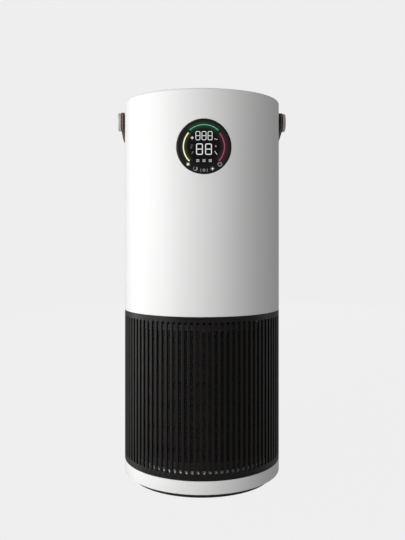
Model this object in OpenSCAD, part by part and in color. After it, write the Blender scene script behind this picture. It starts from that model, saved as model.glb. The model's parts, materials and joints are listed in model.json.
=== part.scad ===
// Cylindrical room air purifier with a strap handle.
// Air enters all round through the black slotted grille, passes a round filter cartridge,
// is lifted by a backward-curved fan and leaves through the louvres in the top.
// Frame: millimetres, +Z up, origin on the cylinder's axis at floor level, front towards -Y.

/* [Body] */
// Outside diameter of the body
body_d = 210; // [206:1:216]
// Height of the top rim above the floor
total_h = 504; // [500:0.5:520]
// Wall thickness of the moulded shells
wall_t = 2.6; // [2.4:0.1:2.8]
// Radius of the rounded top edge
rim_round = 3; // [1:0.5:4]
// Width of the top rim, from the outside to the air outlet
rim_w = 10; // [9.5:0.5:11]

/* [Base] */
// Outside diameter of the foot ring
foot_d = 192; // [180:1:196]
// Height of the foot ring
foot_h = 6.8; // [6:0.1:8]
// Height of the joint between the base and the grille
base_top_z = 23.5; // [23:0.5:24.5]
// Angle that the base turns through to unlock
twist_angle = 20; // [14:1:30]
// Number of bayonet tabs that hold the base
tab_count = 3; // [2:1:4]

/* [Intake grille] */
// Height of the joint between the grille and the upper shell
grille_top_z = 224; // [222:0.5:225]
// Number of slots around the grille
slot_count = 88; // [60:1:96]
// Width of a slot
slot_w = 4; // [3:0.1:4.2]
// Height of the lower end of the slots
slot_low_z = 31.2; // [31:0.1:34]
// Height of the upper end of the slots
slot_high_z = 217; // [205:0.5:217]
// Spacing of the stiffening hoops behind the slots
hoop_pitch = 27.5; // [24:0.5:30]

/* [Display] */
// Diameter of the round display window
display_d = 67.6; // [60:0.2:70]
// Height of the window's centre
display_z = 432.3; // [420:0.1:435]

/* [Handle] */
// Height of the strap's pivots
pivot_z = 478.7; // [476:0.1:479]
// Width of the strap, and diameter of its round ends
strap_w = 26.7; // [22:0.1:27]
// Thickness of the strap
strap_t = 3.5; // [3:0.1:4]
// Reach of the strap's loop beyond its pivots, to the inside
strap_reach = 115; // [115:0.5:150]
// Length of the strap's straight sides
strap_straight = 25; // [25:1:35]
// Angle below level at which the strap rests against the back
strap_rest = 17; // [10:1:17]
// Diameter of the pivot screws' heads
cap_d = 24.7; // [18:0.1:25]
// Thickness of the pivot screws' heads
cap_t = 4.4; // [3:0.1:4.5]

/* [Fan] */
// Outside diameter of the impeller
impeller_d = 148; // [130:1:150]
// Number of impeller blades
blade_count = 11; // [7:1:13]
// Radius of the motor shaft
shaft_r = 4; // [3:0.5:4]

/* [Filter] */
// Outside diameter of the filter cartridge
filter_d = 182; // [176:1:184]
// Number of pleats in the filter paper
pleat_count = 72; // [48:1:96]

/* [Hidden] */
$fn = 96;
e = 0.1; // how far a cutter runs past the face that it cuts
fit = 0.2; // clearance between parts that are assembled
running = 0.06; // radial clearance of a turning fit
body_r = body_d / 2;
inner_r = body_r - wall_t; // inside of the moulded shells
front = -90; // direction of the front, about Z
rear = 90; // direction of the back, about Z

// Base
tray_r = inner_r - 0.7;
tray_z = slot_low_z - 0.2; // top of the tray, where the filter stands
tray_t = 2.4;
plate_r = 99.8;
plate_t = 2.6;
band_round = 1; // radius of the band's lower edge
boss_ring_r = 76; // circle of the base screws
tab_in_r = tray_r - wall_t + 0.3;
tab_low_z = base_top_z + 2.2;
tab_high_z = tray_z - tray_t - 0.5;
tab_half = 4; // half of the angle that a tab covers
tab_play = 0.5; // free angle on each side of a tab

// Fan deck
deck_t = 2.5;
deck_z = grille_top_z - 3.7;
deck_top = deck_z + deck_t;
bell_round = 8;
throat_r = 46.8;
throat_top = deck_z + 15.2;
deck_screw_r = 96.5; // circle of the deck screws

// Fan, duct and motor
duct_r = 84; // inside of the duct
duct_t = 2;
impeller_r = impeller_d / 2;
impeller_low = deck_z + 16.2;
impeller_high = impeller_low + 42;
blade_t = 2;
cup_r = 46.5; // inside of the motor cup
cup_z = 290;
housing_top = 330;
case_r = 38;
case_low = 295.6;
case_high = 323.6;
bearing_r = 8;
bearing_w = 5;
duct_top = total_h - 15;
mount_r = 41.5; // circle of the motor mounts

// Outlet
outlet_r = body_r - rim_w - 0.4;
outlet_z = duct_top + 0.1;
louvre_h = 8;
louvre_count = 40;
hub_r = 24;

// Filter
filter_r = filter_d / 2;
core_r = 62; // open core of the cartridge
cap_low_z = tray_z + 0.3;
media_low = tray_z + 6.1;
media_high = 208.9;

// Display
display_r = display_d / 2;
board_y = -91.4; // front face of the round board
key_circle = 28.3; // circle of the touch keys' springs
key_step = 21; // angle between two touch keys

// Handle
washer_t = 1.3;
strap_in = body_r + washer_t; // inside of the strap at its pivots
strap_out = strap_in + strap_t;
stud_r = 4;
thread_r = 2.5;

// Back
inlet_z = 245;
sensor_z = 308;
circuit_z = 395;
circuit_w = 60;
circuit_h = 95;
circuit_y = 92.5;

// ---- Shapes that repeat ----

// A disc or plain cylinder between two heights
module disc(r, low, high) {
    translate([0, 0, low]) cylinder(r = r, h = high - low);
}

// A ring between two radii and two heights
module ring(r_in, r_out, low, high) {
    difference() {
        disc(r_out, low, high);
        disc(r_in, low - e, high + e);
    }
}

// A cylinder along X, from x0 to x1, at height z
module rod_x(r, x0, x1, z) {
    translate([x0, 0, z]) rotate([0, 90, 0]) cylinder(r = r, h = x1 - x0);
}

// A cylinder along Y, from y0 to y1, at [x, z]
module rod_y(r, y0, y1, x, z) {
    translate([x, y1, z]) rotate([90, 0, 0]) cylinder(r = r, h = y1 - y0);
}

// A block of the given size, centred in X and Z, from y0 to y1
module block_y(w, h, y0, y1, z, x = 0) {
    translate([x - w / 2, y0, z - h / 2]) cube([w, y1 - y0, h]);
}

// The same thing on the +X side and on the -X side
module both_sides() {
    children();
    mirror([1, 0, 0]) children();
}

// Copies of a thing around Z
module around(count, first = 0) {
    for (i = [0:count - 1]) rotate(first + i * 360 / count) children();
}

// A pie-shaped wedge from the axis outwards, centred on +X
module wedge(half_angle, r, low, high) {
    translate([0, 0, low]) linear_extrude(high - low)
        polygon([[0, 0], r * [cos(half_angle), -sin(half_angle)], [r * 1.1, 0],
            r * [cos(half_angle), sin(half_angle)]]);
}

// A pan-head screw pointing down, with its head's seat at z = 0
module screw(shank_r, length, head_r, head_h) {
    translate([0, 0, -length]) cylinder(r = shank_r, h = length + e);
    difference() {
        cylinder(r = head_r, h = head_h);
        for (turn = [0, 90]) rotate(turn) translate([0, 0, head_h])
            cube([head_r * 1.1, head_r * 0.3, head_h], center = true);
    }
}

// ---- Outer shells ----

module shell_profile() {
    difference() {
        union() {
            translate([0, grille_top_z]) square([body_r, total_h - rim_round - grille_top_z]);
            translate([0, total_h - rim_round - e]) square([body_r - rim_round, rim_round + e]);
            translate([body_r - rim_round, total_h - rim_round]) circle(r = rim_round);
        }
        // the hollow below the rim
        translate([-e, grille_top_z - e])
            square([inner_r + e, total_h - wall_t - grille_top_z + e]);
        // the outlet opening
        translate([-e, grille_top_z - e]) square([body_r - rim_w + e, total_h]);
    }
    // lip that frames the outlet grille
    translate([body_r - rim_w, duct_top + 0.5]) square([2, total_h - duct_top - 2]);
}

module upper_shell() {
    color("whitesmoke") difference() {
        union() {
            rotate_extrude() shell_profile();
            both_sides() rod_x(7, inner_r - 6.4, inner_r + 1, pivot_z);
            intersection() {
                board_corners() rod_y(3, circuit_y + 3.8, body_r, 0, 0);
                disc(inner_r + 1, circuit_z - circuit_h, circuit_z + circuit_h);
            }
        }
        rod_y(display_r + 0.3, -body_r - e, -body_r + 25, 0, display_z);
        both_sides() rod_x(thread_r + 0.1, inner_r - 10, body_r + e, pivot_z);
        block_y(24.4, 17.4, body_r - 10, body_r + e, inlet_z);
        block_y(50.4, 30.4, body_r - 15, body_r + e, sensor_z);
    }
}

module slot_outline() {
    half = slot_w / 2;
    translate([-half, slot_low_z + half]) square([slot_w, slot_high_z - slot_low_z - slot_w]);
    for (z = [slot_low_z + half, slot_high_z - half]) translate([0, z]) circle(r = half);
}

module intake_grille() {
    color("#1d1b1a") union() {
        difference() {
            ring(inner_r, body_r, base_top_z + fit, grille_top_z - fit);
            around(slot_count, front) translate([inner_r - 1, 0, 0]) rotate([90, 0, 90])
                linear_extrude(wall_t + 2) slot_outline();
        }
        around(tab_count, rear - twist_angle) intersection() {
            ring(tab_in_r, inner_r + 1, tab_low_z, tab_high_z);
            wedge(tab_half, body_r * 1.2, tab_low_z - e, tab_high_z + e);
        }
        around(4, 45) difference() {
            union() {
                translate([deck_screw_r, 0, 0]) disc(3.6, deck_z - 8, deck_z - 0.1);
                translate([deck_screw_r, -1, deck_z - 8])
                    cube([inner_r - deck_screw_r + 1, 2, 7.9]);
            }
            translate([deck_screw_r, 0, 0]) disc(1.5, deck_z - 9, deck_z);
        }
    }
}

module grille_hoops() {
    color("#1d1b1a") for (z = [slot_low_z + hoop_pitch - 2 : hoop_pitch : slot_high_z - 10])
        ring(inner_r - 2, inner_r, z, z + 2);
}

// ---- Base, which turns to unlock ----

module base_profile() {
    low = foot_h;
    shoulder = base_top_z - wall_t;
    difference() {
        union() {
            translate([0, low + band_round]) square([body_r, base_top_z - low - band_round]);
            translate([0, low]) square([body_r - band_round, band_round + e]);
            translate([body_r - band_round, low + band_round]) circle(r = band_round);
            translate([0, base_top_z - e]) square([tray_r, tray_z - base_top_z + e]);
        }
        // hollow inside the band
        translate([-e, low + plate_t + 0.1]) square([inner_r + e, shoulder - low - plate_t - 0.1]);
        // hollow under the tray
        translate([-e, shoulder - e]) square([tray_r - wall_t + e, tray_z - tray_t - shoulder + e]);
        // seat of the base plate
        translate([-e, low - e]) square([plate_r + 0.3 + e, plate_t + 0.3]);
    }
}

module base_cover() {
    color("whitesmoke") difference() {
        union() {
            rotate_extrude() base_profile();
            around(4, 45) translate([boss_ring_r, 0, 0])
                disc(4, foot_h + plate_t + 0.1, tray_z - 1);
        }
        around(tab_count, rear - twist_angle) rotate(twist_angle / 2) intersection() {
            ring(tab_in_r - 0.5, inner_r + e, tab_low_z - 0.4, tray_z - tray_t);
            wedge(tab_half + tab_play + twist_angle / 2, body_r * 1.2, tab_low_z - 1, tray_z);
        }
        around(tab_count, rear) intersection() {
            ring(tab_in_r - 0.6, inner_r + 2 * e, tab_low_z + 0.5, tray_z + e);
            wedge(tab_half + 2 * tab_play, body_r * 1.2, tab_low_z, tray_z + 1);
        }
        around(4, 45) translate([boss_ring_r, 0, 0]) disc(1.5, foot_h, tray_z - 6);
    }
}

module base_plate() {
    color("#171615") difference() {
        disc(plate_r, foot_h, foot_h + plate_t);
        around(4, 45) translate([boss_ring_r, 0, 0]) {
            disc(1.7, foot_h - e, foot_h + plate_t + e);
            disc(3.2, foot_h - e, foot_h + 1.4);
        }
        ring(foot_d / 2 - 8, foot_d / 2 - 4, foot_h - e, foot_h + 1.2);
        for (i = [-3:3]) translate([i * 9 - 1.5, -24, foot_h - e]) cube([3, 48, plate_t + 1]);
    }
}

module foot_ring() {
    color("#121212") union() {
        rotate_extrude() difference() {
            translate([foot_d / 2 - 12, 0]) square([12, foot_h]);
            translate([foot_d / 2 - 12 - e, -e]) square([2 + e, 1.5 + e]);
        }
        ring(foot_d / 2 - 7.8, foot_d / 2 - 4.2, foot_h - 0.5, foot_h + 1);
    }
}

module base_screws() {
    color("silver") around(4, 45) translate([boss_ring_r, 0, foot_h + 1.4]) mirror([0, 0, 1])
        screw(1.5, 12, 2.9, 1.2);
}

// ---- Display ----

module display_lens() {
    color("#050505") intersection() {
        ring(inner_r + 0.1, body_r, display_z - 40, display_z + 40);
        rod_y(display_r, -body_r - 1, -body_r + 20, 0, display_z);
    }
}

module display_frame() {
    color("#202020") intersection() {
        ring(inner_r - 2.6, inner_r - 0.1, display_z - 40, display_z + 40);
        difference() {
            rod_y(display_r + 3, -body_r, -body_r + 20, 0, display_z);
            rod_y(display_r - 1.5, -body_r - e, -body_r + 21, 0, display_z);
        }
    }
}

module light_guide() {
    digit_x = [-7.4, 0, 7.4];
    color("white") difference() {
        rod_y(25, board_y - 6, board_y - 0.1, 0, display_z);
        for (x = digit_x) block_y(6.4, 11.8, board_y - 7, board_y + 1, display_z + 13, x);
        for (x = [-5.6, 5.6]) block_y(9, 14.4, board_y - 7, board_y + 1, display_z - 3.4, x);
        for (x = digit_x) rod_y(2, board_y - 7, board_y + 1, x, display_z - 17);
        for (x = [-15, 15]) rod_y(2, board_y - 7, board_y + 1, x, display_z + 9);
    }
}

module display_holes() {
    for (x = [-22, 22]) for (z = [-22, 22]) translate([x, 0, display_z + z]) children();
}

module display_board() {
    color("darkgreen") union() {
        difference() {
            rod_y(31.5, board_y, board_y + 1.6, 0, display_z);
            display_holes() rod_y(1.3, board_y - e, board_y + 2, 0, 0);
        }
        block_y(16, 5, board_y + 1.5, board_y + 3.3, display_z + 8);
        block_y(8, 8, board_y + 1.5, board_y + 2.8, display_z - 8);
    }
}

module touch_springs() {
    color("gold") for (i = [-2:2]) {
        turn = i * key_step;
        difference() {
            rod_y(1.9, board_y - 6, board_y, key_circle * sin(turn), display_z - key_circle * cos(turn));
            rod_y(1.3, board_y - 7, board_y - 0.6, key_circle * sin(turn),
                display_z - key_circle * cos(turn));
        }
    }
}

module display_screws() {
    color("silver") display_holes() translate([0, board_y + 1.6, 0]) rotate([-90, 0, 0])
        screw(1.3, 6, 2.3, 1.3);
}

module display_cable() {
    low = display_z + 3;
    color("lightgrey") union() {
        rotate(front + 4) rotate_extrude(angle = 172)
            translate([duct_r + duct_t + 0.8, low]) square([0.6, 10]);
        block_y(10, 10, -duct_r - duct_t - 1.9, -duct_r - duct_t - 0.9, low + 5, 10);
    }
}

// ---- Strap handle and its pivots ----

// Half of the loop as [x, distance from the pivots]: straight, then a quarter of an ellipse
function loop_side(half_w, reach) = concat([[half_w, 0]],
    [for (a = [0:3:90]) [half_w * cos(a), strap_straight + (reach - strap_straight) * sin(a)]]);

function loop_all(half_w, reach) = let (side = loop_side(half_w, reach), last = len(side) - 1)
    concat(side, [for (i = [last - 1:-1:0]) [-side[i][0], side[i][1]]]);

module handle_strap() {
    color("#5d4037") translate([0, 0, pivot_z]) rotate([-strap_rest, 0, 0]) difference() {
        union() {
            translate([0, 0, -strap_w / 2]) linear_extrude(strap_w) difference() {
                polygon(loop_all(strap_out, strap_reach + strap_t));
                translate([0, -e]) polygon(loop_all(strap_in, strap_reach));
            }
            both_sides() rod_x(strap_w / 2, strap_in, strap_out, 0);
        }
        both_sides() rod_x(stud_r + 1.2, strap_in - 1, strap_out + 1, 0);
    }
}

module strap_eyelets() {
    color("darkgoldenrod") translate([0, 0, pivot_z]) both_sides() difference() {
        rod_x(stud_r + 1.2, strap_in, strap_out, 0);
        rod_x(stud_r + running, strap_in - e, strap_out + e, 0);
    }
}

module pivot_screws() {
    cap_x = strap_out + 0.15;
    color("#8f8783") both_sides() union() {
        rod_x(stud_r, strap_in - 0.3, cap_x + e, pivot_z);
        rod_x(thread_r, inner_r - 13, strap_in, pivot_z);
        rod_x(cap_d / 2, cap_x, cap_x + cap_t - 1.5, pivot_z);
        translate([cap_x + cap_t - 1.5, 0, pivot_z]) rotate([0, 90, 0])
            cylinder(r1 = cap_d / 2, r2 = cap_d / 2 - 2, h = 1.5);
    }
}

module pivot_washers() {
    color("#2b2422") both_sides() difference() {
        rod_x(12, inner_r, strap_in - 0.15, pivot_z);
        rotate(90) disc(body_r, pivot_z - 20, pivot_z + 20, $fn = 720);
        rod_x(stud_r + 0.3, inner_r, strap_in, pivot_z);
    }
}

module pivot_nuts() {
    color("goldenrod") both_sides() difference() {
        translate([inner_r - 11.5, 0, pivot_z]) rotate([0, 90, 0]) cylinder(r = 5.5, h = 5, $fn = 6);
        rod_x(thread_r, inner_r - 14, inner_r, pivot_z);
    }
}

// ---- Air outlet ----

// One swirl louvre: an arc that leaves the hub and leans into the outer ring
module louvre() {
    arc_r = 62;
    centre_x = 80;
    translate([centre_x, 0, outlet_z]) rotate([0, 0, 180 - 82]) rotate_extrude(angle = 70)
        translate([arc_r - 0.8, 0]) square([1.6, louvre_h]);
}

module outlet_grille() {
    color("#1b1a1a") union() {
        ring(outlet_r - 2.4, outlet_r, outlet_z, outlet_z + louvre_h);
        ring(57, 58.8, outlet_z, outlet_z + louvre_h - 2);
        ring(hub_r - 3, hub_r, outlet_z, outlet_z + louvre_h);
        disc(hub_r - 1, outlet_z, outlet_z + 2);
        intersection() {
            around(louvre_count) louvre();
            ring(hub_r - 1, outlet_r - 1, outlet_z - e, outlet_z + louvre_h + e);
        }
    }
}

module outlet_cap() {
    color("#232222") translate([0, 0, outlet_z + louvre_h]) rotate_extrude() union() {
        translate([0, 0.1]) square([hub_r - 1.5, 1.5]);
        translate([0, 0.1]) square([hub_r, 0.8]);
        translate([hub_r - 5.6, -3]) square([2.2, 3.2]);
    }
}

module outlet_duct() {
    color("gainsboro") rotate_extrude() union() {
        translate([duct_r, housing_top + fit]) square([duct_t, duct_top - housing_top - fit]);
        translate([duct_r + duct_t + fit, housing_top - 8]) square([duct_t, 10]);
        translate([duct_r + 1, housing_top + fit]) square([3, 2]);
        translate([duct_r, duct_top - 2]) square([body_r - rim_w + 2 - duct_r, 2]);
    }
}

// ---- Fan ----

module fan_deck() {
    bell = [throat_r + bell_round, deck_z + bell_round];
    color("dimgray") difference() {
        rotate_extrude() union() {
            translate([bell[0], deck_z]) square([inner_r - fit - bell[0], deck_t]);
            translate(bell) intersection() {
                difference() {
                    circle(r = bell_round);
                    circle(r = bell_round - deck_t);
                }
                translate([-bell_round, -bell_round]) square(bell_round);
            }
            translate([throat_r, bell[1]]) square([deck_t, throat_top - bell[1]]);
            translate([inner_r - fit - 1.3, deck_z]) square([1.3, 12]);
        }
        around(4, 45) translate([deck_screw_r, 0, 0]) disc(1.7, deck_z - e, deck_top + e);
    }
}

module deck_screws() {
    color("silver") around(4, 45) translate([deck_screw_r, 0, deck_top]) screw(1.5, 9, 2.8, 1.8);
}

module fan_guard() {
    low = deck_z - 2.1;
    color("#2a2a2a") union() {
        for (r = [10:10:60]) ring(r - 1, r + 0.8, low, low + 2);
        around(6) translate([9, -1, low]) cube([51, 2, 2]);
    }
}

module fan_housing() {
    low = deck_top + 0.1;
    color("gainsboro") difference() {
        union() {
            ring(duct_r, duct_r + duct_t, low, housing_top);
            ring(duct_r + 1, duct_r + 8, low, low + 2.5);
            ring(cup_r, cup_r + 2, cup_z, housing_top);
            ring(12, cup_r + 1, cup_z, cup_z + 3);
            intersection() {
                around(11) translate([66, 0, 308]) rotate([32, 0, 0]) cube([44, 2, 48], center = true);
                ring(cup_r + 1, duct_r + 1, cup_z + 1, housing_top - 4);
            }
        }
        around(4) translate([mount_r, 0, 0]) disc(1.5, cup_z - e, cup_z + 4);
    }
}

module motor_cover() {
    color("gainsboro") translate([0, 0, housing_top]) rotate_extrude() difference() {
        polygon([[0, 0.2], [cup_r + 2, 0.2], [cup_r, 6], [30, 15], [12, 19], [0, 20]]);
        polygon([[-1, 0], [cup_r, 0], [cup_r - 2, 5], [29, 13], [12, 17], [-1, 18]]);
    }
}

module motor_case() {
    color("silver") difference() {
        union() {
            disc(case_r, case_low, case_high);
            around(4) translate([mount_r, 0, 0]) disc(4, case_low, case_low + 3);
            around(4) translate([case_r - 1, -4, case_low]) cube([4, 8, 3]);
        }
        ring(bearing_r + 2.5, case_r - 2, case_low + 2, case_high - 2);
        disc(bearing_r + 3, case_low + 7, case_high - 7);
        disc(bearing_r - 1.5, case_low - e, case_high + e);
        disc(bearing_r, case_low + 1, case_low + 7 + e);
        disc(bearing_r, case_high - 7 - e, case_high - 1);
        around(4) translate([mount_r, 0, 0]) disc(1.6, case_low - e, case_low + 4);
    }
}

module motor_bearings() {
    color("lightsteelblue") {
        ring(shaft_r + running, bearing_r, case_low + 1, case_low + 1 + bearing_w);
        ring(shaft_r + running, bearing_r, case_high - 1 - bearing_w, case_high - 1);
    }
}

module motor_mounts() {
    color("#151515") around(4) translate([mount_r, 0, 0])
        ring(1.6, 3.6, cup_z + 3, case_low);
}

module motor_screws() {
    color("silver") around(4) translate([mount_r, 0, case_low + 3]) screw(1.5, 7.5, 2.7, 1.8);
}

module tooth() {
    translate([22.2, -1.9, case_low + 8.5]) cube([10.5, 3.8, 11]);
}

module stator_core() {
    color("slategray") union() {
        ring(31.5, case_r - 2.1, case_low + 8.5, case_low + 19.5);
        around(12) tooth();
    }
}

module stator_windings() {
    color("peru") around(12) difference() {
        translate([23.5, -3.4, case_low + 7]) cube([7.6, 6.8, 14]);
        translate([22, -1.95, case_low + 8.45]) cube([11, 3.9, 11.1]);
    }
}

module motor_shaft() {
    color("lightgray") disc(shaft_r, impeller_high - 24, case_high - 0.5);
}

module rotor_magnets() {
    color("#30343a") ring(shaft_r, 21.4, case_low + 8.7, case_low + 19.3);
}

// Section of one backward-curved blade
module blade_section() {
    arc_r = 50;
    centre = [43, 44];
    intersection() {
        difference() {
            circle(r = impeller_r - 0.5);
            circle(r = throat_r + 4);
        }
        translate(centre) difference() {
            circle(r = arc_r + blade_t / 2);
            circle(r = arc_r - blade_t / 2);
        }
        translate([0, -impeller_r]) square([impeller_r, impeller_r * 1.35]);
    }
}

module impeller() {
    low = impeller_low;
    high = impeller_high;
    collar = throat_r + deck_t + 1.2;
    color("whitesmoke") union() {
        ring(collar, collar + 2, low - 5, low + 2);
        ring(collar, impeller_r, low, low + 2);
        ring(shaft_r, impeller_r, high - 2, high);
        ring(shaft_r, 10, high - 16, high - 1);
        around(blade_count) translate([0, 0, low + 1]) linear_extrude(high - low - 2) blade_section();
    }
}

module impeller_nut() {
    low = impeller_high - 22;
    color("goldenrod") difference() {
        translate([0, 0, low]) cylinder(r = 7.5, h = 5.9, $fn = 6);
        disc(shaft_r, low - 1, low + 7);
    }
}

// ---- Electronics ----

module board_corners() {
    for (x = [-1, 1]) for (z = [-1, 1])
        translate([x * (circuit_w / 2 - 4), 0, circuit_z + z * (circuit_h / 2 - 4)]) children();
}

module power_board() {
    color("darkgreen") difference() {
        block_y(circuit_w, circuit_h, circuit_y, circuit_y + 1.6, circuit_z);
        board_corners() rod_y(1.7, circuit_y - e, circuit_y + 2, 0, 0);
    }
}

module board_parts() {
    front_y = circuit_y - 5.4;
    back_y = circuit_y + 1.6;
    color("#26262a") union() {
        block_y(20, 18, back_y, back_y + 5.5, circuit_z - 26);
        block_y(16, 12, back_y, back_y + 4, circuit_z + 26);
        block_y(12, 12, back_y, back_y + 2, circuit_z + 4);
        for (x = [-12, 0, 12]) rod_y(3.6, back_y, back_y + 5, x, circuit_z - 9);
        block_y(14, 6, front_y + 1.4, circuit_y, circuit_z + 38, -6);
        block_y(10, 6, front_y + 1.4, circuit_y, circuit_z - 38, 6);
    }
}

module board_bracket() {
    y = circuit_y + 1.7;
    color("dimgray") difference() {
        block_y(circuit_w + 4, circuit_h + 4, y, y + 2, circuit_z);
        block_y(circuit_w - 14, circuit_h - 14, y - e, y + 3, circuit_z);
        board_corners() rod_y(1.5, y - e, y + 3, 0, 0);
    }
}

module board_screws() {
    color("silver") board_corners() translate([0, circuit_y, 0]) rotate([90, 0, 0])
        screw(1.5, 3.5, 2.5, 1.4);
}

module power_inlet() {
    face = body_r - 1.6;
    pocket = 10;
    color("#161616") difference() {
        union() {
            block_y(24, 17, face - 13, face, inlet_z);
            block_y(32, 22, face - 6.8, face - 5, inlet_z);
        }
        for (x = [-4.3, 4.3]) rod_y(3.7, face - pocket, face + e, x, inlet_z);
        block_y(8.6, 6.2, face - pocket, face + e, inlet_z);
        for (x = [-4.3, 4.3]) rod_y(1.1, face - 14, face, x, inlet_z);
    }
}

module inlet_pins() {
    color("silver") for (x = [-4.3, 4.3]) rod_y(1.1, body_r - 17, body_r - 3.5, x, inlet_z);
}

module dust_sensor() {
    color("#33363b") difference() {
        block_y(46, 34, duct_r + 2 * duct_t + 1, body_r - 7.5, sensor_z);
        rod_y(4, body_r - 12, body_r, 12, sensor_z);
        for (i = [0:3]) block_y(12, 1.6, body_r - 9, body_r, sensor_z - 6 + i * 4, -10);
    }
}

module sensor_cover() {
    color("#1d1b1a") difference() {
        intersection() {
            ring(inner_r, body_r, sensor_z - 15, sensor_z + 15);
            block_y(50, 30, body_r - 15, body_r + 1, sensor_z);
        }
        for (i = [-3:3]) block_y(38, 1.8, body_r - 15, body_r + 1, sensor_z + i * 3.6);
    }
}

// ---- Filter cartridge ----

module filter_prefilter() {
    color("#3a3a3a") ring(88.9, 89.9, media_low + 1, media_high - 5);
}

// Zigzag of the pleated paper, as one closed outline at a given offset
function pleats(r_in, r_out) = [for (i = [0:2 * pleat_count - 1])
    let (a = i * 180 / pleat_count, r = i % 2 == 0 ? r_out : r_in) [r * cos(a), r * sin(a)]];

module filter_media() {
    color("ivory") translate([0, 0, media_low]) linear_extrude(media_high - media_low) difference() {
        polygon(pleats(72.5, 88.4));
        polygon(pleats(69.5, 85.2));
    }
}

module filter_carbon() {
    color("#202020") ring(core_r + 2, core_r + 7, media_low, media_high);
}

module filter_cap_top() {
    color("#2c2c2c") rotate_extrude() union() {
        translate([core_r, media_high + 0.1]) square([filter_r - core_r, 4]);
        translate([filter_r - 0.9, media_high - 4]) square([0.9, 5]);
    }
}

module filter_cap_bottom() {
    color("#2c2c2c") rotate_extrude() union() {
        translate([0, media_low - 2.6]) square([filter_r, 2.5]);
        translate([filter_r - 3, cap_low_z]) square([3, 4]);
        translate([filter_r - 0.9, media_low - 1]) square([0.9, 5]);
    }
}

module filter_gasket() {
    color("#101010") ring(66, 84, media_high + 4.2, deck_z - 0.1);
}

module filter_pull_tab() {
    color("firebrick") translate([-9, -60, cap_low_z + 1.2]) cube([18, 120, 0.8]);
}

upper_shell();
intake_grille();
grille_hoops();
base_cover();
base_plate();
foot_ring();
base_screws();
display_lens();
display_frame();
light_guide();
display_board();
touch_springs();
display_screws();
display_cable();
handle_strap();
strap_eyelets();
pivot_screws();
pivot_washers();
pivot_nuts();
outlet_grille();
outlet_cap();
outlet_duct();
fan_deck();
deck_screws();
fan_guard();
fan_housing();
motor_cover();
motor_case();
motor_bearings();
motor_mounts();
motor_screws();
stator_core();
stator_windings();
motor_shaft();
rotor_magnets();
impeller();
impeller_nut();
power_board();
board_parts();
board_bracket();
board_screws();
power_inlet();
inlet_pins();
dust_sensor();
sensor_cover();
filter_prefilter();
filter_media();
filter_carbon();
filter_cap_top();
filter_cap_bottom();
filter_gasket();
filter_pull_tab();
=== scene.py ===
"""Looks of a cylindrical room air purifier with a leather strap: shells, slotted grille,
round display, strap and metal pivots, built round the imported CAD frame."""

import json
import math

import bmesh
import bpy
from mathutils import Matrix, Vector


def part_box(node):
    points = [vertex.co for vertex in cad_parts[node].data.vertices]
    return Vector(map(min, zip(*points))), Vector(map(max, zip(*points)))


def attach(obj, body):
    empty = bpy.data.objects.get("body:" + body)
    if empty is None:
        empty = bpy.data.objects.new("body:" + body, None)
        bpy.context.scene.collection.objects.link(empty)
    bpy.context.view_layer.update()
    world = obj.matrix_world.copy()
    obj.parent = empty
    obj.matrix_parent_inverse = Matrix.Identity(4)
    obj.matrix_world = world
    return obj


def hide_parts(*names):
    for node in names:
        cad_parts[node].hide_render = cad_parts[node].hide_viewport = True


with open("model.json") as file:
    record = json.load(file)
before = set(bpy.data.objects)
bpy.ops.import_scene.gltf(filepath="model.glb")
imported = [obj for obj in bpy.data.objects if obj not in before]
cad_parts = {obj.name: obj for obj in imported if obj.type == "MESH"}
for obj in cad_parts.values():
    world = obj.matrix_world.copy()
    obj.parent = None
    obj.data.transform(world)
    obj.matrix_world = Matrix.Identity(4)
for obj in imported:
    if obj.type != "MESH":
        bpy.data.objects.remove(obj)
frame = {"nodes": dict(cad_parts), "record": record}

MM = 0.001
TURN = 2 * math.pi
SMOOTH_ANGLE = 32  # degrees: edges sharper than this stay sharp
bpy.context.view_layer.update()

# ---- Places and sizes, from the frame ----

shell_low, shell_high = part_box("upper_shell")
grille_low, grille_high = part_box("intake_grille")
base_low, base_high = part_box("base_cover")
foot_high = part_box("foot_ring")[1]
lens_low, lens_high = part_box("display_lens")
washer_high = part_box("pivot_washers")[1]
screw_low, screw_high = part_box("pivot_screws")
outlet_low, outlet_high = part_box("outlet_grille")
socket_low, socket_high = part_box("power_inlet")
vent_low, vent_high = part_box("sensor_cover")

BODY_R = shell_high.x
WALL = 2.6 * MM
INNER_R = BODY_R - WALL
TOP_Z = shell_high.z
RIM_W = 10 * MM
BASE_TOP_Z = grille_low.z - 0.2 * MM
TRAY_Z = base_high.z
FOOT_R = foot_high.x
FOOT_H = base_low.z
DISPLAY_Z = (lens_low.z + lens_high.z) / 2
DISPLAY_R = (lens_high.x - lens_low.x) / 2
PIVOT_Z = (screw_low.z + screw_high.z) / 2
CAP_R = (screw_high.z - screw_low.z) / 2
SLOT_COUNT = 88
SLOT_W = 4 * MM
SLOT_LOW = TRAY_Z + 0.2 * MM
SLOT_HIGH = 217 * MM
WINDOW_R = BODY_R - 0.2 * MM  # front of the display window
MARK_RISE = 0.12 * MM

# ---- Camera and light ----

CAMERA_DISTANCE = 0.924
CAMERA_HEIGHT = 0.323
CAMERA_TURN = math.radians(-1.4)


def make_camera():
    data = bpy.data.cameras.new("camera")
    data.lens = 44.8
    data.sensor_width = 36
    data.shift_x = 0.0011
    data.shift_y = -0.063
    camera = bpy.data.objects.new("camera", data)
    camera.location = (CAMERA_DISTANCE * math.sin(CAMERA_TURN),
                       -CAMERA_DISTANCE * math.cos(CAMERA_TURN), CAMERA_HEIGHT)
    camera.rotation_euler = (math.pi / 2, 0, CAMERA_TURN)
    bpy.context.collection.objects.link(camera)
    bpy.context.scene.camera = camera


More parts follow.
